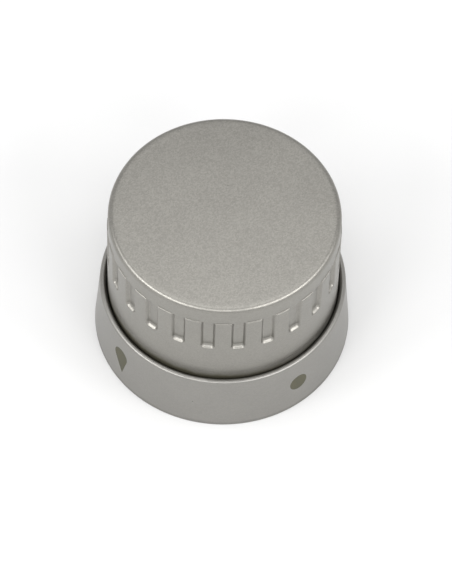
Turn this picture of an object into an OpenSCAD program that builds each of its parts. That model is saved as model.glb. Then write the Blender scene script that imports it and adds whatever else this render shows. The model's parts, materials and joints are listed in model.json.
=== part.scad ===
// Push-and-turn control knob for a gas hob. A fluted cap stands in a flared skirt ring, and
// three screws draw both together round a moulded core that grips the valve's D shaft.
// Millimetres. +Z runs along the shaft towards the hand, and the origin is the centre of the
// skirt's base. The dot on the skirt faces -Y and the flame faces -X.

/* [Cap] */
// Diameter of the cap's fluted wall
cap_d = 43.3; // [41:0.1:48]
// Height of the cap above the skirt's rim
cap_rise = 22.1; // [19:0.1:28]
// Thickness of the cap's wall
cap_wall = 2; // [1.6:0.1:2.4]
// Thickness of the cap's top
cap_top_t = 2.2; // [1.6:0.1:3]
// Rounding of the cap's top edge
cap_edge_r = 1.1; // [0.4:0.1:1.5]
// Set-back of the plain band above the flutes, left by the mould's parting line
parting_step = 0.15; // [0.05:0.01:0.3]

/* [Flutes] */
// Number of finger flutes round the cap
flute_count = 24; // [16:1:30]
// Width of a flute at its mouth
flute_w = 2.5; // [1.8:0.1:3.2]
// Depth of a flute
flute_depth = 0.75; // [0.4:0.05:1.1]
// Width that each drafted side wall of a flute takes up
flute_side = 0.35; // [0.1:0.05:0.6]
// Distance from the cap's top to the flutes' upper ends
flute_drop = 4.3; // [2.5:0.1:6]
// Length of a flute with its scooped lower end
flute_len = 8.4; // [6:0.1:12]
// Radius of the scoop that runs a flute out to the wall
scoop_r = 1.2; // [1:0.1:3]
// Rounding of a flute's lower corners
flute_corner_r = 0.7; // [0.3:0.1:1.2]

/* [Skirt] */
// Height of the skirt
skirt_h = 13.3; // [12:0.1:18]
// How much further out the skirt's base reaches than its rim
skirt_flare = 1.05; // [0.3:0.05:3]
// Thickness of the skirt's wall below its web
skirt_wall = 1.7; // [1.3:0.1:2.2]
// Thickness of the rim round the cap
rim_wall = 0.9; // [0.7:0.05:2]
// Rounding of the rim's outer edge
rim_r = 0.6; // [0.2:0.05:0.8]
// Rounding of the rim's inner edge and of the base
soft_r = 0.2; // [0.1:0.05:0.3]
// Gap all round between the cap and the rim
ring_gap = 0.55; // [0.3:0.05:1]
// Depth of the groove between the cap and the rim
groove_depth = 4.3; // [2:0.1:5.5]
// Thickness of the web that the cap stands on
web_t = 2; // [1.2:0.1:3]

/* [Marks] */
// Depth of the marks' paint-filled recesses
mark_depth = 0.35; // [0.2:0.05:0.8]
// Height of the dot's centre above the base
dot_z = 7; // [4:0.1:8]
// Diameter of the dot
dot_d = 3.8; // [2:0.1:5]
// Turn from the dot to the flame
mark_turn = 90; // [45:5:180]
// Height of the middle of the flame's round head above the base
flame_z = 7.8; // [6:0.1:9]
// Width of the flame's round head
flame_w = 3.7; // [2:0.1:4.5]
// Drop from the middle of the flame's head to its tip
flame_drop = 4.6; // [3:0.1:5]
// Sideways lean of the flame's tip
flame_lean = 0.8; // [0:0.1:1.5]

/* [Core] */
// Thickness of the flange under the web
flange_t = 2; // [1.5:0.1:3]
// Gap between the flange and the skirt's wall
flange_gap = 1.6; // [0.5:0.1:2.5]
// Width of web that the flange holds
web_lap = 3; // [2.4:0.1:4]
// Play between the web's hole and the core
spigot_play = 0.15; // [0.05:0.05:0.3]
// How far the core's face stands above the web
core_rise = 1; // [0.8:0.1:2]
// Outward reach of the two keys that turn the skirt with the core
key_reach = 1.5; // [1:0.1:1.8]
// Width of the wide key, on the side of the dot
wide_key_w = 7; // [5.5:0.1:9]
// Width of the narrow key, across from the dot
narrow_key_w = 4; // [3:0.1:5]
// Wall round the shaft socket's mouth
stem_wall = 2.5; // [1.8:0.1:3]
// Height of the stem's mouth above the skirt's base
stem_lift = 1.5; // [0.8:0.1:2]
// Number of ribs under the flange
rib_count = 6; // [3:3:6]
// Thickness of a rib
rib_t = 1.4; // [1:0.1:2]
// How far the ribs' lower edges stand back from the stem's mouth
rib_lift = 1.2; // [0.8:0.1:1.4]
// Width of the stiffening rim under the flange's edge
flange_rim_w = 1.4; // [1:0.1:2]
// Height of that rim
flange_rim_h = 1; // [0.6:0.1:1.2]

/* [Shaft socket] */
// Diameter of the valve's shaft
shaft_d = 8; // [7:0.1:9]
// Depth of the flat cut on the shaft
shaft_flat = 1.5; // [1.4:0.1:2]
// Play of the shaft in its socket, on the diameter
shaft_play = 0.1; // [0.04:0.02:0.2]
// Length of the D-shaped part of the socket
grip_len = 14; // [12:0.5:17]
// How much wider than the shaft the round lead-in is
lead_in_extra = 0.6; // [0.4:0.1:1]
// Length of the round lead-in
lead_in_len = 4; // [3:0.5:5]
// Chamfer at the socket's mouth
mouth_chamfer = 0.4; // [0.2:0.1:0.6]
// Width of the spring clip
clip_w = 4.4; // [3.5:0.1:4.6]
// Thickness of the clip's steel strip
clip_t = 0.4; // [0.3:0.05:0.5]
// How far the clip bows into the socket past the flat
clip_bow = 0.3; // [0.1:0.05:0.4]
// Depth of the clip's pocket behind the flat
clip_pocket = 0.9; // [0.8:0.05:1]
// Length of flat left at each end of the clip's pocket
clip_sill = 1; // [0.6:0.1:2]
// Play round the clip in its pocket
clip_play = 0.1; // [0.05:0.05:0.15]
// Thickness of the stem's closed end
stem_end_t = 1.5; // [1:0.1:2.5]

/* [Screws] */
// Distance from the inside of the cap's wall to a screw's axis
screw_inset = 6.65; // [6.15:0.05:7.15]
// Outside diameter of a screw's thread
screw_d = 2.9; // [2.2:0.1:3]
// Length of a screw under its head
screw_len = 10; // [8:0.5:14]
// Diameter of a screw's head
head_d = 5.6; // [4.5:0.1:5.8]
// Height of a screw's head
head_h = 2; // [1.6:0.1:2.4]
// Length of the cross recess in a screw's head, from end to end
recess_len = 3.4; // [2.4:0.1:4]
// Width of the recess's slots
recess_w = 0.9; // [0.6:0.1:1.2]
// Depth of the recess
recess_depth = 1.2; // [0.8:0.1:1.4]
// Diameter of a screw's blunt tip
tip_d = 0.7; // [0.4:0.1:1.2]
// Depth that a head's seat is sunk into the flange
head_sink = 1.8; // [1:0.1:2]
// Play round a screw's head and shank, on the diameter
screw_play = 0.5; // [0.3:0.1:0.6]
// Length of hole left beyond a screw's tip
pilot_spare = 1; // [0.5:0.1:2]
// Outside diameter of the cap's screw bosses
boss_d = 6; // [5.4:0.1:6.4]
// Thickness of the fins that tie the bosses to the cap's wall
boss_fin_t = 1.2; // [0.8:0.1:1.6]
// Height of the fins' lower ends above the core's face
fin_lift = 2; // [1:0.5:4]
// Depth of the seats that centre the bosses on the core
boss_seat = 0.8; // [0.5:0.1:1]
// Play between a boss and its seat, on the diameter
boss_play = 0.2; // [0.1:0.05:0.3]
// Gap left above each seat's floor, so that the screws clamp the web
clamp_gap = 0.2; // [0.1:0.05:0.3]

/* [Hidden] */
$fn = 96;
cut = 0.5; // how far a cutting shape runs past the face that it opens
arc_steps = 32; // steps of the curve round the flame's head

paint = [0.63, 0.62, 0.59];
fill = [0.43, 0.42, 0.34];
nylon = [0.15, 0.15, 0.16];
steel = [0.72, 0.73, 0.75];

// Heights
cap_top = skirt_h + cap_rise;
ceiling = cap_top - cap_top_t;
flute_top = cap_top - flute_drop;
flute_low = flute_top - flute_len;
web_top = skirt_h - groove_depth;
web_low = web_top - web_t;
core_top = web_top + core_rise;
flange_low = web_low - flange_t;
lead_in_low = stem_lift + mouth_chamfer;
grip_low = lead_in_low + lead_in_len;
grip_top = grip_low + grip_len;
stem_top = grip_top + stem_end_t;
head_seat = flange_low + head_sink;
boss_floor = core_top - boss_seat;
boss_low = boss_floor + clamp_gap;
fin_low = core_top + fin_lift;

// Radii
cap_r = cap_d / 2;
band_r = cap_r - parting_step;
cap_bore_r = cap_r - cap_wall;
screw_x = cap_bore_r - screw_inset; // distance of the screws from the knob's axis
groove_r = cap_r + ring_gap;
rim_out_r = groove_r + rim_wall;
base_r = rim_out_r + skirt_flare;
flare_angle = atan(skirt_flare / skirt_h);
function skirt_out_r(z) = base_r - z * tan(flare_angle);
function skirt_in_r(z) = skirt_out_r(z) - skirt_wall;
flange_r = skirt_in_r(web_low) - flange_gap;
spigot_r = flange_r - web_lap;
key_r = spigot_r + key_reach;
lead_in_r = (shaft_d + lead_in_extra) / 2;
stem_r = lead_in_r + stem_wall;
socket_r = (shaft_d + shaft_play) / 2;
flat_y = shaft_d / 2 - shaft_flat + shaft_play / 2; // the flat's distance from the axis
screw_hole_d = screw_d + screw_play;
head_hole_d = head_d + screw_play;

// Places round the axis, in degrees from +X
dot_turn = 270;
screw_turns = [30, 150, 270];
rib_turn = 360 / rib_count;
flute_turn = 360 / flute_count;

// A disc with a rounded top edge, as half a section to be spun
module rounded_disc(r, low, high, edge) {
    translate([0, low]) square([r, high - edge - low]);
    translate([0, low]) square([r - edge, high - low]);
    translate([r - edge, high - edge]) circle(edge);
}

// The cutter of one flute, on the +X side. A drafted channel is bounded from the side by the
// scoop that runs it out, and from the front by its rounded lower corners
module flute_cutter() {
    floor_r = cap_r - flute_depth;
    mouth = flute_w / 2;
    draft = flute_side / flute_depth;
    corner = min(flute_corner_r, mouth);
    scoop_z = flute_low + sqrt(2 * scoop_r * flute_depth - pow(flute_depth, 2));
    intersection() {
        translate([0, 0, flute_low]) linear_extrude(flute_len) polygon([
            [floor_r, flute_side - mouth],
            [floor_r, mouth - flute_side],
            [cap_r + cut, mouth + cut * draft],
            [cap_r + cut, -mouth - cut * draft]
        ]);
        rotate([90, 0, 0]) linear_extrude(2 * flute_w, center = true) {
            translate([floor_r, scoop_z]) square([scoop_r, flute_top - scoop_z]);
            translate([floor_r + scoop_r, scoop_z]) circle(scoop_r);
        }
        rotate([90, 0, 90]) linear_extrude(cap_r + 2 * cut) {
            translate([-flute_w, flute_low + corner]) square([2 * flute_w, flute_len]);
            translate([corner - mouth, flute_low]) square([flute_w - 2 * corner, flute_len]);
            for (side = [-1, 1])
                translate([side * (mouth - corner), flute_low + corner]) circle(corner);
        }
    }
}

// A boss under the cap's ceiling with the fin that ties it to the wall
module boss() {
    translate([screw_x, 0, boss_low]) cylinder(d = boss_d, h = ceiling + cut - boss_low);
    translate([screw_x, -boss_fin_t / 2, fin_low])
        cube([cap_bore_r + cut - screw_x, boss_fin_t, ceiling + cut - fin_low]);
}

module grip_cap() {
    color(paint) difference() {
        union() {
            rotate_extrude() difference() {
                union() {
                    translate([0, web_top]) square([cap_r, flute_top - web_top]);
                    rounded_disc(band_r, web_top, cap_top, cap_edge_r);
                }
                rounded_disc(cap_bore_r, web_top - cut, ceiling, cap_edge_r);
            }
            for (turn = screw_turns) rotate(turn) boss();
        }
        for (i = [0 : flute_count - 1]) rotate(i * flute_turn + dot_turn) flute_cutter();
        for (turn = screw_turns) rotate(turn)
            translate([screw_x, 0, boss_low - cut])
                cylinder(d = screw_d, h = head_seat + screw_len + pilot_spare - boss_low + cut);
    }
}

// Half the skirt's section: a flared wall, the upright rim above the web and rounded edges
module skirt_section() {
    rim_edge = min(rim_r, rim_wall - soft_r);
    rim_x = rim_out_r - rim_edge * (1 - sin(flare_angle)) / cos(flare_angle);
    base_x = base_r - soft_r * (1 + sin(flare_angle)) / cos(flare_angle);
    polygon([
        [spigot_r + spigot_play, web_top],
        [spigot_r + spigot_play, web_low],
        [skirt_in_r(web_low), web_low],
        [skirt_in_r(0), 0],
        [base_x, 0],
        [base_x, soft_r],
        [base_x + soft_r * cos(flare_angle), soft_r * (1 + sin(flare_angle))],
        [rim_x + rim_edge * cos(flare_angle), skirt_h - rim_edge * (1 - sin(flare_angle))],
        [rim_x, skirt_h - rim_edge],
        [rim_x, skirt_h],
        [groove_r + soft_r, skirt_h],
        [groove_r + soft_r, skirt_h - soft_r],
        [groove_r, skirt_h - soft_r],
        [groove_r, web_top]
    ]);
    translate([groove_r + soft_r, skirt_h - soft_r]) circle(soft_r);
    translate([rim_x, skirt_h - rim_edge]) circle(rim_edge);
    translate([base_x, soft_r]) circle(soft_r);
}

// The two keys of the core, or with play the notches for them: the wide one faces the dot
module keys(play) {
    intersection() {
        cylinder(r = key_r + play, h = web_top);
        for (key = [[wide_key_w, -1], [narrow_key_w, 1]])
            translate([-key[0] / 2 - play, key[1] > 0 ? 0 : -cap_r, web_low])
                cube([key[0] + 2 * play, cap_r, web_t + play]);
    }
}

// The paint-filled layer of the skirt's flared face, mark_depth thick and open outwards
module marked_layer(outer_r) {
    inset = mark_depth / cos(flare_angle);
    difference() {
        cylinder(r = outer_r, h = skirt_h);
        cylinder(r1 = base_r - inset, r2 = rim_out_r - inset, h = skirt_h);
    }
}

// A flat outline of (sideways, height) pushed out from the axis towards -Y
module outwards() {
    rotate([90, 0, 0]) linear_extrude(base_r + cut) children();
}

module dot_outline() {
    translate([0, dot_z]) circle(d = dot_d);
}

// A flame: a round head drawn out by two tangents to a tip that points to the base
module flame_outline() {
    head = [-flame_lean / 2, flame_z];
    tip = [flame_lean / 2, flame_z - flame_drop];
    aim = atan2(tip[1] - head[1], tip[0] - head[0]);
    spread = acos(flame_w / 2 / norm(tip - head));
    polygon(concat(
        [tip],
        [for (i = [0 : arc_steps])
            let (turn = aim + spread + i / arc_steps * (360 - 2 * spread))
            head + flame_w / 2 * [cos(turn), sin(turn)]]
    ));
}

module skirt() {
    color(paint) difference() {
        rotate_extrude() skirt_section();
        keys(spigot_play);
        intersection() {
            marked_layer(base_r + cut);
            union() {
                outwards() dot_outline();
                rotate(-mark_turn) outwards() flame_outline();
            }
        }
    }
}

module filled_mark() {
    color(fill) intersection() {
        cylinder(r1 = base_r, r2 = rim_out_r, h = skirt_h);
        marked_layer(base_r);
        outwards() children();
    }
}

module dot_mark() {
    filled_mark() dot_outline();
}

module flame_mark() {
    rotate(-mark_turn) filled_mark() flame_outline();
}

// A rib from the stem to the flange's stiffening rim, with a sloping lower edge
module rib() {
    rib_low = stem_lift + rib_lift;
    rib_out = flange_r - flange_rim_w / 2;
    rotate([90, 0, 0]) linear_extrude(rib_t, center = true) polygon([
        [lead_in_r + stem_wall / 2, rib_low],
        [stem_r + rib_t, rib_low],
        [rib_out, flange_low - flange_rim_h / 2],
        [rib_out, flange_low + flange_t / 2],
        [lead_in_r + stem_wall / 2, flange_low + flange_t / 2]
    ]);
}

// The socket: a chamfered round lead-in, then the D with the clip's pocket behind its flat
module socket() {
    translate([0, 0, stem_lift])
        cylinder(r1 = lead_in_r + mouth_chamfer, r2 = lead_in_r, h = mouth_chamfer);
    translate([0, 0, lead_in_low]) cylinder(r = lead_in_r, h = lead_in_len);
    intersection() {
        translate([0, 0, grip_low - cut]) cylinder(r = socket_r, h = grip_len + cut);
        translate([-shaft_d, -flat_y, grip_low - cut]) cube([2 * shaft_d, 2 * shaft_d, grip_len + cut]);
    }
    translate([-clip_w / 2 - clip_play, -flat_y - clip_pocket, grip_low + clip_sill])
        cube([clip_w + 2 * clip_play, clip_pocket + flat_y, grip_len - 2 * clip_sill]);
}

module core() {
    color(nylon) difference() {
        union() {
            translate([0, 0, flange_low]) cylinder(r = flange_r, h = flange_t);
            translate([0, 0, flange_low]) cylinder(r = spigot_r, h = core_top - flange_low);
            translate([0, 0, stem_lift]) cylinder(r = stem_r, h = stem_top - stem_lift);
            translate([0, 0, flange_low - flange_rim_h]) difference() {
                cylinder(r = flange_r, h = flange_rim_h + flange_t / 2);
                translate([0, 0, -cut]) cylinder(r = flange_r - flange_rim_w, h = flange_rim_h + flange_t);
            }
            keys(0);
            for (i = [0 : rib_count - 1]) rotate(i * rib_turn) rib();
        }
        socket();
        for (turn = screw_turns) rotate(turn) translate([screw_x, 0, 0]) {
            cylinder(d = screw_hole_d, h = core_top + cut);
            cylinder(d = head_hole_d, h = head_seat);
            translate([0, 0, boss_floor]) cylinder(d = boss_d + boss_play, h = boss_seat + cut);
        }
    }
}

// A bowed steel strip: its ends bear on the pocket's back and its middle on the shaft's flat
module shaft_clip() {
    reach = clip_pocket + clip_bow;
    half = grip_len / 2 - clip_sill - clip_play;
    bow_r = (pow(reach, 2) - pow(clip_t, 2) + pow(half, 2)) / (2 * (reach - clip_t));
    middle = (grip_low + grip_top) / 2;
    crown_y = clip_bow - flat_y;
    color(steel) intersection() {
        translate([-clip_w / 2, crown_y - reach, middle - half]) cube([clip_w, reach, 2 * half]);
        translate([0, crown_y - bow_r, middle]) rotate([0, 90, 0]) difference() {
            cylinder(r = bow_r, h = clip_w + cut, center = true);
            cylinder(r = bow_r - clip_t, h = clip_w + 2 * cut, center = true);
        }
    }
}

// A pan-head screw with a cross recess, standing head down in its seat
module screw(number) {
    dome = head_h / 2;
    point = (screw_d - tip_d) / 2;
    color(steel) rotate(screw_turns[number - 1]) translate([screw_x, 0, head_seat]) difference() {
        union() {
            cylinder(d = screw_d, h = screw_len - point);
            translate([0, 0, screw_len - point]) cylinder(d1 = screw_d, d2 = tip_d, h = point);
            mirror([0, 0, 1]) rotate_extrude() rounded_disc(head_d / 2, 0, head_h, dome);
        }
        for (turn = [0, 90]) rotate(turn)
            translate([-recess_len / 2, -recess_w / 2, -head_h - cut])
                cube([recess_len, recess_w, recess_depth + cut]);
    }
}

grip_cap();
skirt();
core();
shaft_clip();
screw(1);  // screw_1
screw(2);  // screw_2
screw(3);  // screw_3
dot_mark();
flame_mark();
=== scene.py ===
import json
import math

import bmesh
import bpy
from mathutils import Matrix, Vector


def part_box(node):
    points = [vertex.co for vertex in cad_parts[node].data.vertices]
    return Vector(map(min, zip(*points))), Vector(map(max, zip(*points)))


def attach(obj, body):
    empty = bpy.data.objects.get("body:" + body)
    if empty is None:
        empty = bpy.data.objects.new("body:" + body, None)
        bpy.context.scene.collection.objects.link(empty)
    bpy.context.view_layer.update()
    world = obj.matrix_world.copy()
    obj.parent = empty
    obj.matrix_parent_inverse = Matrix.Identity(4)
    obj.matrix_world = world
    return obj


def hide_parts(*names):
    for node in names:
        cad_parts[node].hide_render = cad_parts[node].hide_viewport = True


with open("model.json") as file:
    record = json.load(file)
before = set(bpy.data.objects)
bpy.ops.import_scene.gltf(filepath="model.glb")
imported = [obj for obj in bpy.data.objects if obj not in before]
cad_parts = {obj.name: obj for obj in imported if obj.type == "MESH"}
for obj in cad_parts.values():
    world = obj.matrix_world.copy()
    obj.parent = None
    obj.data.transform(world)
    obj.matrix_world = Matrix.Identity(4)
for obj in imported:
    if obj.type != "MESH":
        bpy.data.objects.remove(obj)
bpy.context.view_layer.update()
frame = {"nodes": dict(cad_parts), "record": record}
nodes = frame["nodes"]
print("frame loaded:", len(nodes), "solids")

# The knob's axis is Z, the dot faces -Y and the flame faces -X. All lengths are in metres.


# Helpers for shader trees

def newMaterial(name):
    material = bpy.data.materials.new(name)
    material.use_nodes = True
    return material, material.node_tree, material.node_tree.nodes["Principled BSDF"]


def fill(tree, socket, value):
    if isinstance(value, bpy.types.NodeSocket):
        tree.links.new(value, socket)
    else:
        socket.default_value = value


def add(tree, kind, settings=None, **inputs):
    # a node with its settings and inputs; an underscore in an input's name stands for a space
    made = tree.nodes.new("ShaderNode" + kind)
    for name, value in (settings or {}).items():
        setattr(made, name, value)
    for name, value in inputs.items():
        fill(tree, made.inputs[name.replace("_", " ")], value)
    return made


def calc(tree, operation, *values):
    made = add(tree, "Math", {"operation": operation})
    for socket, value in zip(made.inputs, values):
        fill(tree, socket, value)
    return made.outputs[0]


def remap(tree, value, fromLow, fromHigh, toLow=0.0, toHigh=1.0, kind="SMOOTHSTEP"):
    made = add(tree, "MapRange", {"interpolation_type": kind}, Value=value,
               From_Min=fromLow, From_Max=fromHigh, To_Min=toLow, To_Max=toHigh)
    return made.outputs["Result"]


def blendColour(tree, factor, first, second):
    made = add(tree, "Mix", {"data_type": "RGBA"})
    sockets = {socket.identifier: socket for socket in made.inputs}
    fill(tree, sockets["Factor_Float"], factor)
    fill(tree, sockets["A_Color"], first)
    fill(tree, sockets["B_Color"], second)
    return next(socket for socket in made.outputs if socket.identifier == "Result_Color")


def newGroup(name, inputs, outputs):
    # inputs maps a name to its starting value, and a name that maps to None is a vector
    group = bpy.data.node_groups.new(name, "ShaderNodeTree")
    for label, value in inputs.items():
        kind = "NodeSocketVector" if value is None else "NodeSocketFloat"
        socket = group.interface.new_socket(label, in_out="INPUT", socket_type=kind)
        if value is not None:
            socket.default_value = value
    for label in outputs:
        group.interface.new_socket(label, in_out="OUTPUT", socket_type="NodeSocketFloat")
    return group, group.nodes.new("NodeGroupInput").outputs, group.nodes.new("NodeGroupOutput").inputs


def use(tree, group, **inputs):
    return add(tree, "Group", {"node_tree": group}, **inputs).outputs


# Effects that several materials share. They read object coordinates, in metres

def grainGroup():
    # fine flakes of one brightness each, and the soft grain of the moulding under them
    group, given, made = newGroup("fineGrain", {"Place": None, "Flakes per metre": 4000.0},
                                  ("Flakes", "Relief"))
    flakes = add(group, "TexVoronoi", {"feature": "F1"}, Vector=given["Place"],
                 Scale=given["Flakes per metre"], Randomness=1.0)
    pick = add(group, "SeparateColor", Color=flakes.outputs["Color"])
    group.links.new(pick.outputs["Red"], made["Flakes"])
    coarse = calc(group, "MULTIPLY", given["Flakes per metre"], 0.6)
    relief = add(group, "TexNoise", Vector=given["Place"], Scale=coarse, Detail=3.0, Roughness=0.6)
    group.links.new(relief.outputs["Fac"], made["Relief"])
    return group


def cloudGroup():
    # slow patches of tone and gloss
    group, given, made = newGroup("slowPatches", {"Place": None, "Patches per metre": 120.0}, ("Patches",))
    cloud = add(group, "TexNoise", Vector=given["Place"], Scale=given["Patches per metre"],
                Detail=4.0, Roughness=0.55, Distortion=0.3)
    group.links.new(remap(group, cloud.outputs["Fac"], 0.3, 0.7), made["Patches"])
    return group


def speckGroup():
    # sparse small specks: Share of the cells hold one, each of its own size, a small part of a cell
    group, given, made = newGroup("sparseSpecks", {"Place": None, "Specks per metre": 300.0, "Share": 0.3},
                                  ("Specks",))
    cells = add(group, "TexVoronoi", {"feature": "F1"}, Vector=given["Place"],
                Scale=given["Specks per metre"], Randomness=1.0)
    pick = add(group, "SeparateColor", Color=cells.outputs["Color"])
    chosen = calc(group, "LESS_THAN", pick.outputs["Green"], given["Share"])
    size = remap(group, pick.outputs["Blue"], 0.0, 1.0, 0.02, 0.055, "LINEAR")
    spot = calc(group, "LESS_THAN", cells.outputs["Distance"], size)
    group.links.new(calc(group, "MULTIPLY", chosen, spot), made["Specks"])
    return group


def grooveGroup():
    # darkening low down: full below the height Low, gone above High, with a wandering edge; on the cap wall
    # it is painted shade from the gap a Lean above zero makes it reach higher on the -X side, painted shade
    # for a gap that is wider on that side
    group, given, made = newGroup("lowDarkening", {"Place": None, "Low": 0.012, "High": 0.015, "Lean": 0.0},
                                  ("Darkening",))
    split = add(group, "SeparateXYZ", Vector=given["Place"])
    uneven = add(group, "TexNoise", Vector=given["Place"], Scale=260.0, Detail=3.0, Roughness=0.6)
    lift = remap(group, uneven.outputs["Fac"], 0.25, 0.75, -0.0004, 0.0004, "LINEAR")
    height = calc(group, "ADD", split.outputs["Z"], lift)
    height = calc(group, "ADD", height, calc(group, "MULTIPLY", split.outputs["X"], given["Lean"]))
    group.links.new(remap(group, height, given["Low"], given["High"], 1.0, 0.0), made["Darkening"])
    return group


shared = {"grain": grainGroup(), "cloud": cloudGroup(), "specks": speckGroup(), "groove": grooveGroup()}


def place(tree):
    return add(tree, "TexCoord").outputs["Object"]


def awayFromAxis(tree, coords):
    flat = add(tree, "VectorMath", {"operation": "MULTIPLY"})
    fill(tree, flat.inputs[0], coords)
    flat.inputs[1].default_value = 1, 1, 0
    return add(tree, "VectorMath", {"operation": "LENGTH"}, Vector=flat.outputs[0]).outputs["Value"]


def bump(tree, height, distance):
    return add(tree, "Bump", Height=height, Distance=distance, Strength=1.0).outputs["Normal"]


# Silver paint, on the cap and on the skirt

silver = {
    "flakes": 4200.0,           # flakes, patches and specks are counted per metre
    "patches": 150.0, "toneLow": 0.44, "toneHigh": 0.56,
    "specks": 260.0, "speckShare": 0.22, "speckDark": 0.6,
    "metallic": 1.0, "roughLow": 0.35, "roughHigh": 0.38,
    # where the mask of painted shade is full the paint turns dull and rougher
    "shadeAndDirtFull": 0.8, "shadeAndDirtMetallic": 0.1, "shadeAndDirtRough": 0.35,
}
capPaint = {
    # the last colour is near black: the colour of the painted shade, and of the specks
    "dark": (0.236, 0.2285, 0.210, 1), "light": (0.356, 0.345, 0.316, 1), "shadeAndDirt": (0.032, 0.028, 0.011, 1),
    "flakeShare": 0.55, "relief": 0.000012,
    "grain": 0.45, "topGrain": 1.0,             # the grain is stronger on the flat top
    "sideEnds": 0.0347, "topStarts": 0.0353,    # heights between which it changes
    # painted shade on the cap wall down by the gap: where it is full, where it is gone, its lean to -X and
    # its strength
    "shadeLow": 0.0122, "shadeHigh": 0.0147, "shadeLean": 0.045, "shadeAndDirtAmount": 0.92,
}
skirtPaint = {
    # the last colour is near black: the colour of the painted shade, and of the specks
    "dark": (0.250, 0.243, 0.228, 1), "light": (0.348, 0.339, 0.318, 1), "shadeAndDirt": (0.014, 0.012, 0.008, 1),
    "flakeShare": 0.40, "relief": 0.000010, "grain": 0.5,
    # painted shade, full inside the groove and fading out between these distances
    "grooveOut": 0.02204, "grooveFade": 0.02212,    # distances from the axis
    # a painted dark line along the rim's top, shade standing in for the rim's flat land between its rounded
    # edges
    "rimLine": 0.02243, "rimLineHalf": 0.00011, "rimLineShade": 0.7,
    # the lowest part of the skirt is darker towards the lower edge
    "baseLow": 0.0002, "baseHigh": 0.0012, "baseDarkening": 0.35,
    "shadeAndDirtAmount": 0.85,
}


def silverPaint(name, paint, shadeAndDirtMask):
    material, tree, shader = newMaterial(name)
    coords = place(tree)
    grain = use(tree, shared["grain"], Place=coords, Flakes_per_metre=silver["flakes"])
    cloud = use(tree, shared["cloud"], Place=coords, Patches_per_metre=silver["patches"])["Patches"]
    specks = use(tree, shared["specks"], Place=coords, Specks_per_metre=silver["specks"],
                 Share=silver["speckShare"])["Specks"]
    strength = paint["grain"]
    if "topGrain" in paint:
        height = add(tree, "SeparateXYZ", Vector=coords).outputs["Z"]
        strength = remap(tree, height, paint["sideEnds"], paint["topStarts"], strength, paint["topGrain"])
    loose = calc(tree, "MULTIPLY", calc(tree, "SUBTRACT", grain["Flakes"], 0.5),
                 calc(tree, "MULTIPLY", strength, paint["flakeShare"]))
    slow = remap(tree, cloud, 0.0, 1.0, silver["toneLow"], silver["toneHigh"], "LINEAR")
    tone = blendColour(tree, calc(tree, "ADD", slow, loose), paint["dark"], paint["light"])
    tone = blendColour(tree, calc(tree, "MULTIPLY", specks, silver["speckDark"]), tone, paint["shadeAndDirt"])
    # painted shade: the mask darkens the paint towards its near-black colour
    shadeAndDirt = calc(tree, "MULTIPLY", shadeAndDirtMask(tree, coords), paint["shadeAndDirtAmount"])
    tree.links.new(blendColour(tree, shadeAndDirt, tone, paint["shadeAndDirt"]), shader.inputs["Base Color"])
    rough = remap(tree, cloud, 0.0, 1.0, silver["roughLow"], silver["roughHigh"], "LINEAR")
    rough = calc(tree, "ADD", rough, calc(tree, "MULTIPLY", shadeAndDirt, silver["shadeAndDirtRough"]))
    tree.links.new(rough, shader.inputs["Roughness"])
    metal = remap(tree, shadeAndDirt, 0.0, silver["shadeAndDirtFull"], silver["metallic"], silver["shadeAndDirtMetallic"], "LINEAR")
    tree.links.new(metal, shader.inputs["Metallic"])
    relief = calc(tree, "MULTIPLY", grain["Relief"], strength)
    tree.links.new(bump(tree, relief, paint["relief"]), shader.inputs["Normal"])
    return material


# painted shade on the cap wall where it goes down into the gap, reaching higher on the -X side
def capGrooveShade(tree, coords):
    return use(tree, shared["groove"], Place=coords, Low=capPaint["shadeLow"], High=capPaint["shadeHigh"],
               Lean=capPaint["shadeLean"])["Darkening"]


def skirtShade(tree, coords):
    # painted shade: full inside the groove, a fine painted dark line along the rim's top, and a little
    # darker along the lower edge
    paint = skirtPaint
    away = awayFromAxis(tree, coords)
    inside = remap(tree, away, paint["grooveOut"], paint["grooveFade"], 1.0, 0.0)
    offLine = calc(tree, "ABSOLUTE", calc(tree, "SUBTRACT", away, paint["rimLine"]))
    line = remap(tree, offLine, 0.0, paint["rimLineHalf"], paint["rimLineShade"], 0.0)
    low = use(tree, shared["groove"], Place=coords, Low=paint["baseLow"], High=paint["baseHigh"])["Darkening"]
    low = calc(tree, "MULTIPLY", low, paint["baseDarkening"])
    return calc(tree, "MAXIMUM", calc(tree, "MAXIMUM", inside, line), low)


# Black glass-filled nylon: pale fibres near the surface and a fine moulded grain

nylon = {
    "dark": (0.011, 0.011, 0.012, 1), "light": (0.030, 0.030, 0.032, 1), "fibre": (0.075, 0.073, 0.068, 1),
    "flakes": 3000.0, "patches": 200.0, "relief": 0.00002,
    "fibreTurn": (0.2, 0.3, 0.7), "fibres": (900.0, 6000.0, 3000.0),    # per metre, along three axes
    "fibreAmount": 0.6, "flakeRough": 0.5, "roughLow": 0.42, "roughHigh": 0.62,
}


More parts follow.
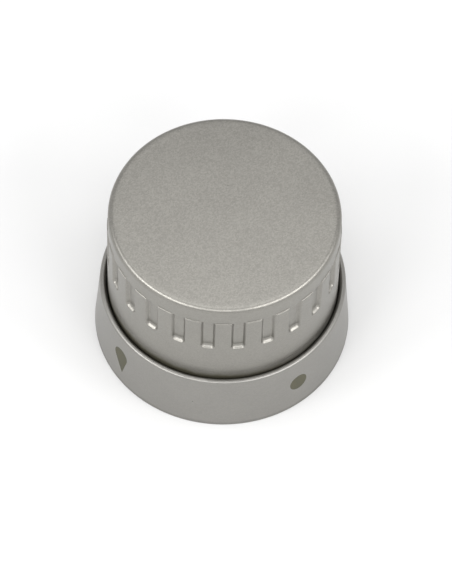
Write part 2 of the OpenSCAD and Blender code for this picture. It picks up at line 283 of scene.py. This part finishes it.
def blackNylon():
    material, tree, shader = newMaterial("blackNylon")
    coords = place(tree)
    grain = use(tree, shared["grain"], Place=coords, Flakes_per_metre=nylon["flakes"])
    cloud = use(tree, shared["cloud"], Place=coords, Patches_per_metre=nylon["patches"])["Patches"]
    stretched = add(tree, "Mapping", Vector=coords, Rotation=nylon["fibreTurn"], Scale=nylon["fibres"])
    streaks = add(tree, "TexNoise", Vector=stretched.outputs["Vector"], Scale=1.0, Detail=2.0)
    fibres = remap(tree, streaks.outputs["Fac"], 0.62, 0.75, 0.0, nylon["fibreAmount"])
    tone = blendColour(tree, cloud, nylon["dark"], nylon["light"])
    tree.links.new(blendColour(tree, fibres, tone, nylon["fibre"]), shader.inputs["Base Color"])
    uneven = calc(tree, "ADD", cloud, calc(tree, "MULTIPLY", grain["Flakes"], nylon["flakeRough"]))
    rough = remap(tree, uneven, 0.0, 1 + nylon["flakeRough"], nylon["roughLow"], nylon["roughHigh"])
    tree.links.new(rough, shader.inputs["Roughness"])
    tree.links.new(bump(tree, grain["Relief"], nylon["relief"]), shader.inputs["Normal"])
    return material


# Rolled spring steel: fine lines along the strip, and a faint straw tint from hardening

steel = {
    "plain": (0.50, 0.51, 0.53, 1), "straw": (0.50, 0.44, 0.34, 1), "stain": (0.20, 0.17, 0.14, 1),
    "lines": (22000.0, 22000.0, 350.0),     # per metre: the strip stands along Z
    "patches": 350.0, "specks": 1500.0, "speckShare": 0.3,
    "roughLow": 0.22, "roughHigh": 0.42, "relief": 0.000006,
}


def springSteel():
    material, tree, shader = newMaterial("springSteel")
    coords = place(tree)
    stretched = add(tree, "Mapping", Vector=coords, Scale=steel["lines"])
    lines = add(tree, "TexNoise", Vector=stretched.outputs["Vector"], Scale=1.0, Detail=2.0).outputs["Fac"]
    cloud = use(tree, shared["cloud"], Place=coords, Patches_per_metre=steel["patches"])["Patches"]
    specks = use(tree, shared["specks"], Place=coords, Specks_per_metre=steel["specks"],
                 Share=steel["speckShare"])["Specks"]
    tone = blendColour(tree, cloud, steel["plain"], steel["straw"])
    tone = blendColour(tree, specks, tone, steel["stain"])
    tree.links.new(tone, shader.inputs["Base Color"])
    rough = remap(tree, lines, 0.3, 0.7, steel["roughLow"], steel["roughHigh"])
    tree.links.new(rough, shader.inputs["Roughness"])
    tree.links.new(bump(tree, lines, steel["relief"]), shader.inputs["Normal"])
    shader.inputs["Metallic"].default_value = 1
    return material


# Zinc-plated steel: a bluish film with patches of yellow, and dull spots

zinc = {
    "blue": (0.52, 0.56, 0.62, 1), "yellow": (0.62, 0.58, 0.47, 1), "dull": (0.33, 0.33, 0.32, 1),
    "flakes": 5000.0, "patches": 420.0, "specks": 1200.0, "speckShare": 0.35, "speckDull": 0.7,
    "roughLow": 0.24, "roughHigh": 0.40, "speckRough": 0.2, "relief": 0.000008,
}


def zincPlate():
    material, tree, shader = newMaterial("zincPlate")
    coords = place(tree)
    grain = use(tree, shared["grain"], Place=coords, Flakes_per_metre=zinc["flakes"])
    cloud = use(tree, shared["cloud"], Place=coords, Patches_per_metre=zinc["patches"])["Patches"]
    specks = use(tree, shared["specks"], Place=coords, Specks_per_metre=zinc["specks"],
                 Share=zinc["speckShare"])["Specks"]
    tone = blendColour(tree, cloud, zinc["blue"], zinc["yellow"])
    tone = blendColour(tree, calc(tree, "MULTIPLY", specks, zinc["speckDull"]), tone, zinc["dull"])
    tree.links.new(tone, shader.inputs["Base Color"])
    rough = remap(tree, cloud, 0.0, 1.0, zinc["roughLow"], zinc["roughHigh"])
    rough = calc(tree, "ADD", rough, calc(tree, "MULTIPLY", specks, zinc["speckRough"]))
    tree.links.new(rough, shader.inputs["Roughness"])
    tree.links.new(bump(tree, grain["Relief"], zinc["relief"]), shader.inputs["Normal"])
    shader.inputs["Metallic"].default_value = 1
    return material


# Olive-grey paint fill of the marks, with a dusty grain

olive = {
    "dark": (0.044, 0.042, 0.022, 1), "light": (0.086, 0.081, 0.049, 1), "dust": (0.20, 0.19, 0.14, 1),
    "flakes": 4000.0, "patches": 500.0, "specks": 900.0, "speckShare": 0.3, "speckDust": 0.5,
    "patchPart": 0.6, "flakePart": 0.4, "roughLow": 0.50, "roughHigh": 0.68, "relief": 0.000015,
}


def oliveFill():
    material, tree, shader = newMaterial("oliveFill")
    coords = place(tree)
    grain = use(tree, shared["grain"], Place=coords, Flakes_per_metre=olive["flakes"])
    cloud = use(tree, shared["cloud"], Place=coords, Patches_per_metre=olive["patches"])["Patches"]
    specks = use(tree, shared["specks"], Place=coords, Specks_per_metre=olive["specks"],
                 Share=olive["speckShare"])["Specks"]
    mixed = calc(tree, "ADD", calc(tree, "MULTIPLY", cloud, olive["patchPart"]),
                 calc(tree, "MULTIPLY", grain["Flakes"], olive["flakePart"]))
    tone = blendColour(tree, mixed, olive["dark"], olive["light"])
    tone = blendColour(tree, calc(tree, "MULTIPLY", specks, olive["speckDust"]), tone, olive["dust"])
    tree.links.new(tone, shader.inputs["Base Color"])
    rough = remap(tree, mixed, 0.0, 1.0, olive["roughLow"], olive["roughHigh"])
    tree.links.new(rough, shader.inputs["Roughness"])
    tree.links.new(bump(tree, grain["Relief"], olive["relief"]), shader.inputs["Normal"])
    return material


looks = {
    "black_nylon": blackNylon(),
    "spring_steel": springSteel(),
    "zinc_screw": zincPlate(),
    "olive_fill": oliveFill(),
    "silver_paint": silverPaint("skirtPaint", skirtPaint, skirtShade),
}
capLook = silverPaint("capPaint", capPaint, capGrooveShade)
for part in frame["record"]["subparts"]:
    nodes[part["node"]].material_slots[0].material = looks[part["material_slot"]]
nodes["grip_cap"].material_slots[0].material = capLook
print("materials made:", len(looks) + 1)


# Helpers for meshes

def stops(start, *stretches):
    # even steps from start to each stretch's end in turn
    places = [start]
    for count, end in stretches:
        first = places[-1]
        places += [first + (end - first) * (i + 1) / count for i in range(count)]
    return places


def arc(centre, radius, fromTurn, toTurn, count):
    # (distance from the axis, height) of points on an arc, angles in degrees from straight out
    turns = [math.radians(turn) for turn in stops(fromTurn, (count, toTurn))]
    return [(centre[0] + radius * math.cos(t), centre[1] + radius * math.sin(t)) for t in turns]


def spinProfile(bm, profile, steps):
    # turns a profile of (distance from the axis, height) right round Z
    verts = [bm.verts.new((away, 0, height)) for away, height in profile]
    edges = [bm.edges.new(pair) for pair in zip(verts, verts[1:])]
    bmesh.ops.spin(bm, geom=verts + edges, cent=(0, 0, 0), axis=(0, 0, 1), dvec=(0, 0, 0),
                   angle=2 * math.pi, steps=steps, use_merge=True, use_duplicate=False)


def sharpen(bm, turn):
    # edges that turn by more than that many degrees are shaded sharp
    for edge in bm.edges:
        edge.smooth = edge.calc_face_angle(0) < math.radians(turn)


def finishPiece(bm, name, material, replaced):
    bmesh.ops.remove_doubles(bm, verts=bm.verts, dist=1e-6)
    bmesh.ops.recalc_face_normals(bm, faces=bm.faces)
    for face in bm.faces:
        face.smooth = True
    mesh = bpy.data.meshes.new(name)
    bm.to_mesh(mesh)
    bm.free()
    mesh.materials.append(material)
    piece = bpy.data.objects.new(name, mesh)
    bpy.context.scene.collection.objects.link(piece)
    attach(piece, "root")
    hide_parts(replaced)
    print("made", name, "with", len(mesh.polygons), "faces")


# The cap: one slice with its flute, bent from a flat grid and repeated round the axis

capShape = {
    "flutes": 24,
    "firstFlute": -90,          # degrees from +X: one flute is in line with the dot
    "wall": 0.0020,
    "topThickness": 0.0022,
    "topEdge": 0.0011,
    "lowEdge": 0.00015,
    "bandStep": 0.00015,        # how far the plain band above the flutes stands back
    "fluteWidth": 0.00275,
    "fluteDepth": 0.00075,
    "fluteSide": 0.00050,       # width that a drafted side wall takes up
    "fluteDrop": 0.0043,        # from the cap's top to the flutes' upper ends
    "fluteLength": 0.0084,
    "scoopLength": 0.00082,     # the sloping lower end of a flute
    "bowlHeight": 0.0015,       # where the side walls start to lean out towards that end
    "bowlSide": 0.00080,        # width of a side wall at the very end
    "softEdge": 0.00026,        # rounding where two faces of a flute meet
    "bowlCrisp": 0.6,           # share of that rounding which is gone at the very end
    "ledge": 0.00010,           # height of the soft slope at the band's lower edge
    "bossTurns": (30, 150, 270),
    "bossDistance": 0.0130,
    "bossRadius": 0.0030,
    "bossHole": 0.00145,
    "bossLow": 0.0094,
    "bossHoleTop": 0.0178,
    "bossSteps": 48,
    "finThickness": 0.0012,
    "finLow": 0.0120,
    "sharpTurn": 35,            # degrees, on bosses and fins
}


def softMin(a, b, blend):
    # the smaller of two values, eased where they differ by less than blend
    near = max(blend - abs(a - b), 0) / blend
    return min(a, b) - near * near * blend / 4


def fluteDepthAt(shape, sideways, height):
    # height is counted from the flute's lower end, which runs out as a small bowl
    deep = shape["fluteDepth"]
    ease = min(max(1 - height / shape["bowlHeight"], 0), 1)
    ease = ease * ease * (3 - 2 * ease)
    soft = shape["softEdge"] * (1 - shape["bowlCrisp"] * ease)
    wall = shape["fluteSide"] + (shape["bowlSide"] - shape["fluteSide"]) * ease
    fromSide = max(1 - (shape["fluteWidth"] / 2 - abs(sideways)) / wall, 0)
    fromEnd = max(1 - height / shape["scoopLength"], 0)
    slope = deep * (1 - math.hypot(fromSide, fromEnd) ** (1 + ease))
    return -softMin(0, -softMin(deep, slope, soft), soft)


def capRows(shape, low, top, radius):
    # (distance from the axis, height, share of the flute's depth) of each row of the grid, from the
    # top down the outside and up the inside to the ceiling, closest where a face bends
    band, bore = radius - shape["bandStep"], radius - shape["wall"]
    edge, ceiling = shape["topEdge"], top - shape["topThickness"]
    fluteTop = top - shape["fluteDrop"]
    fluteLow = fluteTop - shape["fluteLength"]
    soft, ledge, lowEdge = shape["softEdge"], shape["ledge"], shape["lowEdge"]
    rows = [(band - 3 * edge, top, 0), (band - 1.5 * edge, top, 0)]
    rows += [(x, z, 0) for x, z in arc((band - edge, top - edge), edge, 90, 0, 10)]
    rows += [(band, z, 0) for z in stops(top - edge, (1, top - 1.3 * edge), (2, fluteTop + 2 * ledge),
                                         (1, fluteTop + ledge))[1:]]
    for share in stops(0, (6, 1))[1:]:
        ease = share * share * (3 - 2 * share)
        rows.append((band + (radius - band) * ease, fluteTop + ledge * (1 - share), ease))
    heights = stops(fluteTop, (3, fluteTop - soft), (4, fluteLow + shape["bowlHeight"]),
                    (22, fluteLow - soft), (3, low + 2 * lowEdge))[1:]
    rows += [(radius, z, 1) for z in heights]
    rows += [(x, z, 0) for x, z in arc((radius - lowEdge, low + lowEdge), lowEdge, 0, -90, 4)]
    rows += [(x, z, 0) for x, z in arc((bore + lowEdge, low + lowEdge), lowEdge, -90, -180, 4)]
    rows += [(bore, z, 0) for z in stops(low + lowEdge, (3, ceiling - edge))[1:-1]]
    rows += [(x, z, 0) for x, z in arc((bore - edge, ceiling - edge), edge, 0, 90, 5)]
    rows += [(bore - 2.5 * edge, ceiling, 0)]
    return rows, fluteLow


def buildCap(shape, material):
    low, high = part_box("grip_cap")
    radius = high.x
    pitch = 2 * math.pi / shape["flutes"]
    half, soft = shape["fluteWidth"] / 2, shape["softEdge"]
    # columns of the grid, in metres round the wall from the flute's middle to half way to the next
    columns = stops(0, (5, half - shape["fluteSide"] - soft), (11, half + soft), (4, pitch * radius / 2))
    columns = [-column for column in reversed(columns[1:])] + columns
    rows, fluteLow = capRows(shape, low.z, high.z, radius)

    bm = bmesh.new()
    bmesh.ops.create_grid(bm, x_segments=len(columns) - 1, y_segments=len(rows) - 1, size=1)
    for vert in bm.verts:
        sideways = columns[round((vert.co.x + 1) / 2 * (len(columns) - 1))]
        away, height, share = rows[round((1 - vert.co.y) / 2 * (len(rows) - 1))]
        if share:
            away -= share * fluteDepthAt(shape, sideways, height - fluteLow)
        turn = sideways / radius + math.radians(shape["firstFlute"])
        vert.co = away * math.cos(turn), away * math.sin(turn), height
    firstSlice = bm.verts[:] + bm.edges[:] + bm.faces[:]
    for i in range(1, shape["flutes"]):
        copy = bmesh.ops.duplicate(bm, geom=firstSlice)["geom"]
        verts = [part for part in copy if isinstance(part, bmesh.types.BMVert)]
        bmesh.ops.rotate(bm, verts=verts, cent=(0, 0, 0), matrix=Matrix.Rotation(i * pitch, 3, "Z"))
    bmesh.ops.remove_doubles(bm, verts=bm.verts, dist=1e-6)
    bmesh.ops.holes_fill(bm, edges=[edge for edge in bm.edges if edge.is_boundary], sides=0)
    addBosses(bm, shape, high.z - shape["topThickness"], radius - shape["wall"])
    finishPiece(bm, "gripCap", material, "grip_cap")


def addBosses(bm, shape, ceiling, bore):
    # each boss and each fin is a closed shell of its own, sunk a little into the top and the wall
    sunk = shape["topThickness"] / 4
    hole, outside, top = shape["bossHole"], shape["bossRadius"], ceiling + sunk
    profile = [(0, shape["bossHoleTop"]), (hole, shape["bossHoleTop"]), (hole, shape["bossLow"]),
               (outside, shape["bossLow"]), (outside, top), (0, top)]
    for turn in shape["bossTurns"]:
        boss = bmesh.new()
        spinProfile(boss, profile, shape["bossSteps"])
        reach = bore + sunk - shape["bossDistance"]
        fin = bmesh.ops.create_cube(boss, size=1)["verts"]
        bmesh.ops.scale(boss, verts=fin, vec=(reach, shape["finThickness"], top - shape["finLow"]))
        bmesh.ops.translate(boss, verts=fin, vec=(reach / 2, 0, (top + shape["finLow"]) / 2))
        bmesh.ops.remove_doubles(boss, verts=boss.verts, dist=1e-6)
        sharpen(boss, shape["sharpTurn"])
        boss.transform(Matrix.Translation((shape["bossDistance"], 0, 0)))
        boss.transform(Matrix.Rotation(math.radians(turn), 4, "Z"))
        loose = bpy.data.meshes.new("boss")
        boss.to_mesh(loose)
        boss.free()
        bm.from_mesh(loose)
        bpy.data.meshes.remove(loose)


buildCap(capShape, capLook)


# Stage, camera and lights

paleFloor = {"colour": (0.72, 0.72, 0.72, 1), "rough": 0.9, "halfWidth": 2}


def floorLook():
    material, tree, shader = newMaterial("paleFloor")
    shader.inputs["Base Color"].default_value = paleFloor["colour"]
    shader.inputs["Roughness"].default_value = paleFloor["rough"]
    return material


def stageFloor():
    bm = bmesh.new()
    bmesh.ops.create_grid(bm, x_segments=1, y_segments=1, size=paleFloor["halfWidth"])
    mesh = bpy.data.meshes.new("floor")
    bm.to_mesh(mesh)
    bm.free()
    floor = bpy.data.objects.new("floor", mesh)
    bpy.context.scene.collection.objects.link(floor)
    mesh.materials.append(floorLook())


stageFloor()

cameraView = {
    "azimuth": -38.5,           # degrees from -Y, seen from above, positive towards +X
    "elevation": 56.925,
    "distance": 0.75825,
    "lens": 249.97,             # millimetres
    "middle": 0.01767,          # height of the knob's middle
    "aimRight": 0.000652,       # how far the camera looks past that middle, in its own frame
    "aimUp": -0.004943,
    "roll": 1.80,
}


def fromKnob(azimuth, elevation):
    # the direction from the knob to what stands at that azimuth and elevation
    turn, rise = math.radians(azimuth), math.radians(elevation)
    return Vector((math.sin(turn) * math.cos(rise), -math.cos(turn) * math.cos(rise), math.sin(rise)))


def placeCamera(view):
    data = bpy.data.cameras.new("camera")
    data.lens = view["lens"]
    data.clip_start = 0.01
    camera = bpy.data.objects.new("camera", data)
    bpy.context.scene.collection.objects.link(camera)
    middle = Vector((0, 0, view["middle"]))
    camera.location = middle + fromKnob(view["azimuth"], view["elevation"]) * view["distance"]
    toSide = fromKnob(view["azimuth"] + 90, 0)
    toTop = fromKnob(view["azimuth"] + 180, 90 - view["elevation"])
    look = middle + toSide * view["aimRight"] + toTop * view["aimUp"] - camera.location
    facing = look.to_track_quat("-Z", "Y").to_matrix()
    rolled = facing @ Matrix.Rotation(math.radians(view["roll"]), 3, "Z")
    camera.rotation_mode = "QUATERNION"
    camera.rotation_quaternion = rolled.to_quaternion()
    bpy.context.scene.camera = camera


placeCamera(cameraView)


def softLight(name, azimuth, elevation, distance, size, share):
    # share is the light it adds on a face turned to it, where the room's own is one
    data = bpy.data.lights.new(name, "AREA")
    data.shape = "DISK"
    data.size = size
    data.energy = share * (math.pi * distance) ** 2
    light = bpy.data.objects.new(name, data)
    away = fromKnob(azimuth, elevation)
    light.location = away * distance
    light.rotation_mode = "QUATERNION"
    light.rotation_quaternion = (-away).to_track_quat("-Z", "Y")
    bpy.context.scene.collection.objects.link(light)


studio = {
    "room": 0.73,
    # (degrees to the side of the camera, share) of the low lights in front
    "low": [(0, 0.12), (-36, 0.20), (36, 0.19), (-66, 0.22), (66, 0.21), (-94, 0.10), (94, 0.08)],
    "lowPlace": {"elevation": 38, "distance": 0.8, "size": 0.30},
    "over": {"azimuth": 130, "elevation": 85, "distance": 0.22, "size": 0.20, "share": 0.23},
}


def lightRoom(strength):
    world = bpy.data.worlds.new("studio")
    world.use_nodes = True
    background = world.node_tree.nodes["Background"]
    background.inputs["Color"].default_value = 1, 1, 1, 1
    background.inputs["Strength"].default_value = strength
    bpy.context.scene.world = world
    bpy.context.scene.view_settings.view_transform = "Standard"


for turn, share in studio["low"]:
    softLight("lowLight", azimuth=cameraView["azimuth"] + turn, share=share, **studio["lowPlace"])
softLight("overLight", **studio["over"])
lightRoom(studio["room"])
print("stage set:", len(studio["low"]) + 1, "lights")
